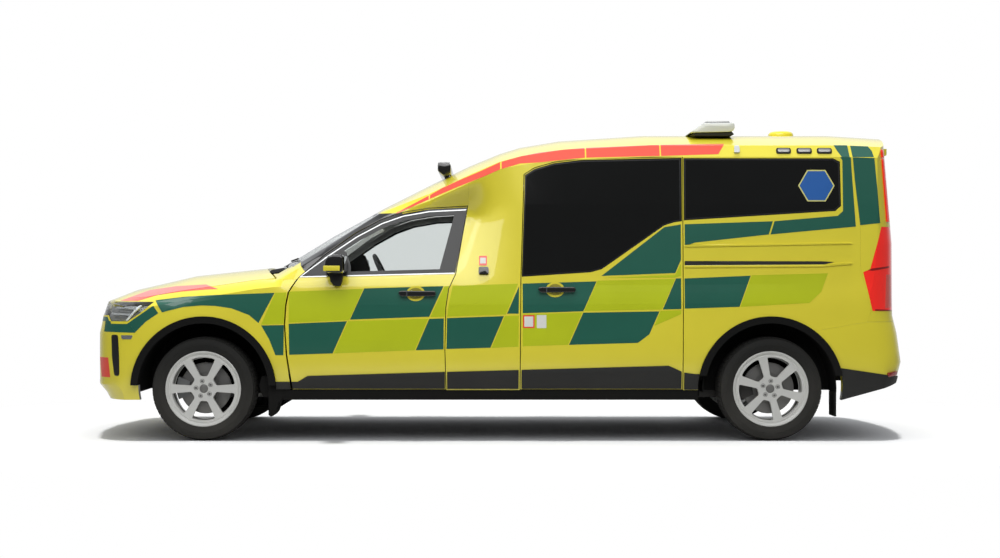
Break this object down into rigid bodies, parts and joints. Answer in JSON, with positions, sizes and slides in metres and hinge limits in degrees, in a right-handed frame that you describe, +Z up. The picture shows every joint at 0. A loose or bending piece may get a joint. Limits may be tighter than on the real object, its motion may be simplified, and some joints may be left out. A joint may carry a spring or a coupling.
{
  "type": "high-roof ambulance",
  "caption": "High-roof ambulance on a long estate chassis, with rolling and steering wheels, opening front doors, bonnet and tailgate, and warning lamps.",
  "frame": {"origin": "on the ground under the middle of the vehicle's bounding box", "axes": "+X forward, +Y to the vehicle's left, +Z up"},
  "size_m": [6.075, 2.316, 2.345],
  "materials": {
    "yellow_paint": "gloss",
    "clear_glass": "gloss",
    "dark_glass": "gloss",
    "lamp_glass": "gloss",
    "red_lamp": "gloss",
    "black_plastic": "satin",
    "dark_steel": "matte",
    "alloy": "satin",
    "tyre": "matte",
    "seat_fabric": "woven",
    "pale_board": "matte"
  },
  "bodies": {
    "body": {"roof": "yellow_paint", "wing_left": "yellow_paint", "wing_right": "yellow_paint", "door_pillars": "yellow_paint", "rear_quarter_left": "yellow_paint", "rear_quarter_right": "yellow_paint", "sliding_door_left": "yellow_paint", "sliding_door_right": "yellow_paint", "rear_pillar_left": "yellow_paint", "rear_pillar_right": "yellow_paint", "front_bumper": "yellow_paint", "rear_bumper": "yellow_paint", "antenna_dome": "yellow_paint", "windscreen": "clear_glass", "quarter_glass": "dark_glass", "sliding_door_glass": "dark_glass", "headlamps": "lamp_glass", "light_bar": "lamp_glass", "tail_lamps": "red_lamp", "grille": "black_plastic", "sill_cladding": "black_plastic", "arch_trims": "black_plastic", "wheel_housings": "black_plastic", "cowl_tray": "black_plastic", "dashboard": "black_plastic", "work_lamp_bar": "black_plastic", "mudflaps": "black_plastic", "hinge_pillars": "dark_steel", "floor_pan": "dark_steel", "engine_block": "dark_steel", "front_subframe": "dark_steel", "rear_axle": "dark_steel", "steering_column": "dark_steel", "front_seats": "seat_fabric", "stretcher": "seat_fabric", "bulkhead": "pale_board"},
    "bonnet": {"bonnet": "yellow_paint"},
    "tailgate": {"tailgate": "yellow_paint", "tailgate_glass": "dark_glass"},
    "door_left": {"front_door_left": "yellow_paint", "front_door_glass_left": "clear_glass", "door_mirror_left": "black_plastic"},
    "door_right": {"front_door_right": "yellow_paint", "front_door_glass_right": "clear_glass", "door_mirror_right": "black_plastic"},
    "knuckle_left": {"knuckle_left": "dark_steel"},
    "knuckle_right": {"knuckle_right": "dark_steel"},
    "wheel_front_left": {"rim_front_left": "alloy", "tyre_front_left": "tyre"},
    "wheel_front_right": {"rim_front_right": "alloy", "tyre_front_right": "tyre"},
    "wheel_rear_left": {"rim_rear_left": "alloy", "tyre_rear_left": "tyre"},
    "wheel_rear_right": {"rim_rear_right": "alloy", "tyre_rear_right": "tyre"},
    "steering_wheel": {"steering_wheel": "black_plastic"}
  },
  "joints": [
    {"name": "steer_left", "type": "hinge", "parent": "body", "child": "knuckle_left", "pos_m": [2.1475, 0.79, 0.374], "axis": [0, 0, 1], "range_deg": [-32, 32]},
    {"name": "steer_right", "type": "hinge", "parent": "body", "child": "knuckle_right", "pos_m": [2.1475, -0.79, 0.374], "axis": [0, 0, 1], "range_deg": [-32, 32]},
    {"name": "steering_wheel_turn", "type": "hinge", "parent": "body", "child": "steering_wheel", "pos_m": [0.8795, 0.39, 1.19], "axis": [-0.9063, 0, 0.4226], "range_deg": [-512, 512]},
    {"name": "spin_front_left", "type": "hinge", "parent": "knuckle_left", "child": "wheel_front_left", "pos_m": [2.1475, 0.835, 0.374], "axis": [0, 1, 0], "continuous": true},
    {"name": "spin_rear_left", "type": "hinge", "parent": "body", "child": "wheel_rear_left", "pos_m": [-1.9525, 0.835, 0.374], "axis": [0, 1, 0], "continuous": true},
    {"name": "spin_front_right", "type": "hinge", "parent": "knuckle_right", "child": "wheel_front_right", "pos_m": [2.1475, -0.835, 0.374], "axis": [0, 1, 0], "continuous": true},
    {"name": "spin_rear_right", "type": "hinge", "parent": "body", "child": "wheel_rear_right", "pos_m": [-1.9525, -0.835, 0.374], "axis": [0, 1, 0], "continuous": true},
    {"name": "door_left_swing", "type": "hinge", "parent": "body", "child": "door_left", "pos_m": [1.4695, 0.94, 0.75], "axis": [0, 0, -1], "range_deg": [0, 65]},
    {"name": "door_right_swing", "type": "hinge", "parent": "body", "child": "door_right", "pos_m": [1.4695, -0.94, 0.75], "axis": [0, 0, 1], "range_deg": [0, 65]},
    {"name": "bonnet_lift", "type": "hinge", "parent": "body", "child": "bonnet", "pos_m": [1.5875, 0, 1.165], "axis": [0, -1, 0], "range_deg": [0, 50]},
    {"name": "tailgate_lift", "type": "hinge", "parent": "body", "child": "tailgate", "pos_m": [-2.9125, 0, 2.112], "axis": [0, 1, 0], "range_deg": [0, 85]}
  ],
  "couplings": [
    {"joint": "steer_right", "follows": "steer_left", "ratio": 1},
    {"joint": "steering_wheel_turn", "follows": "steer_left", "ratio": 15}
  ]
}
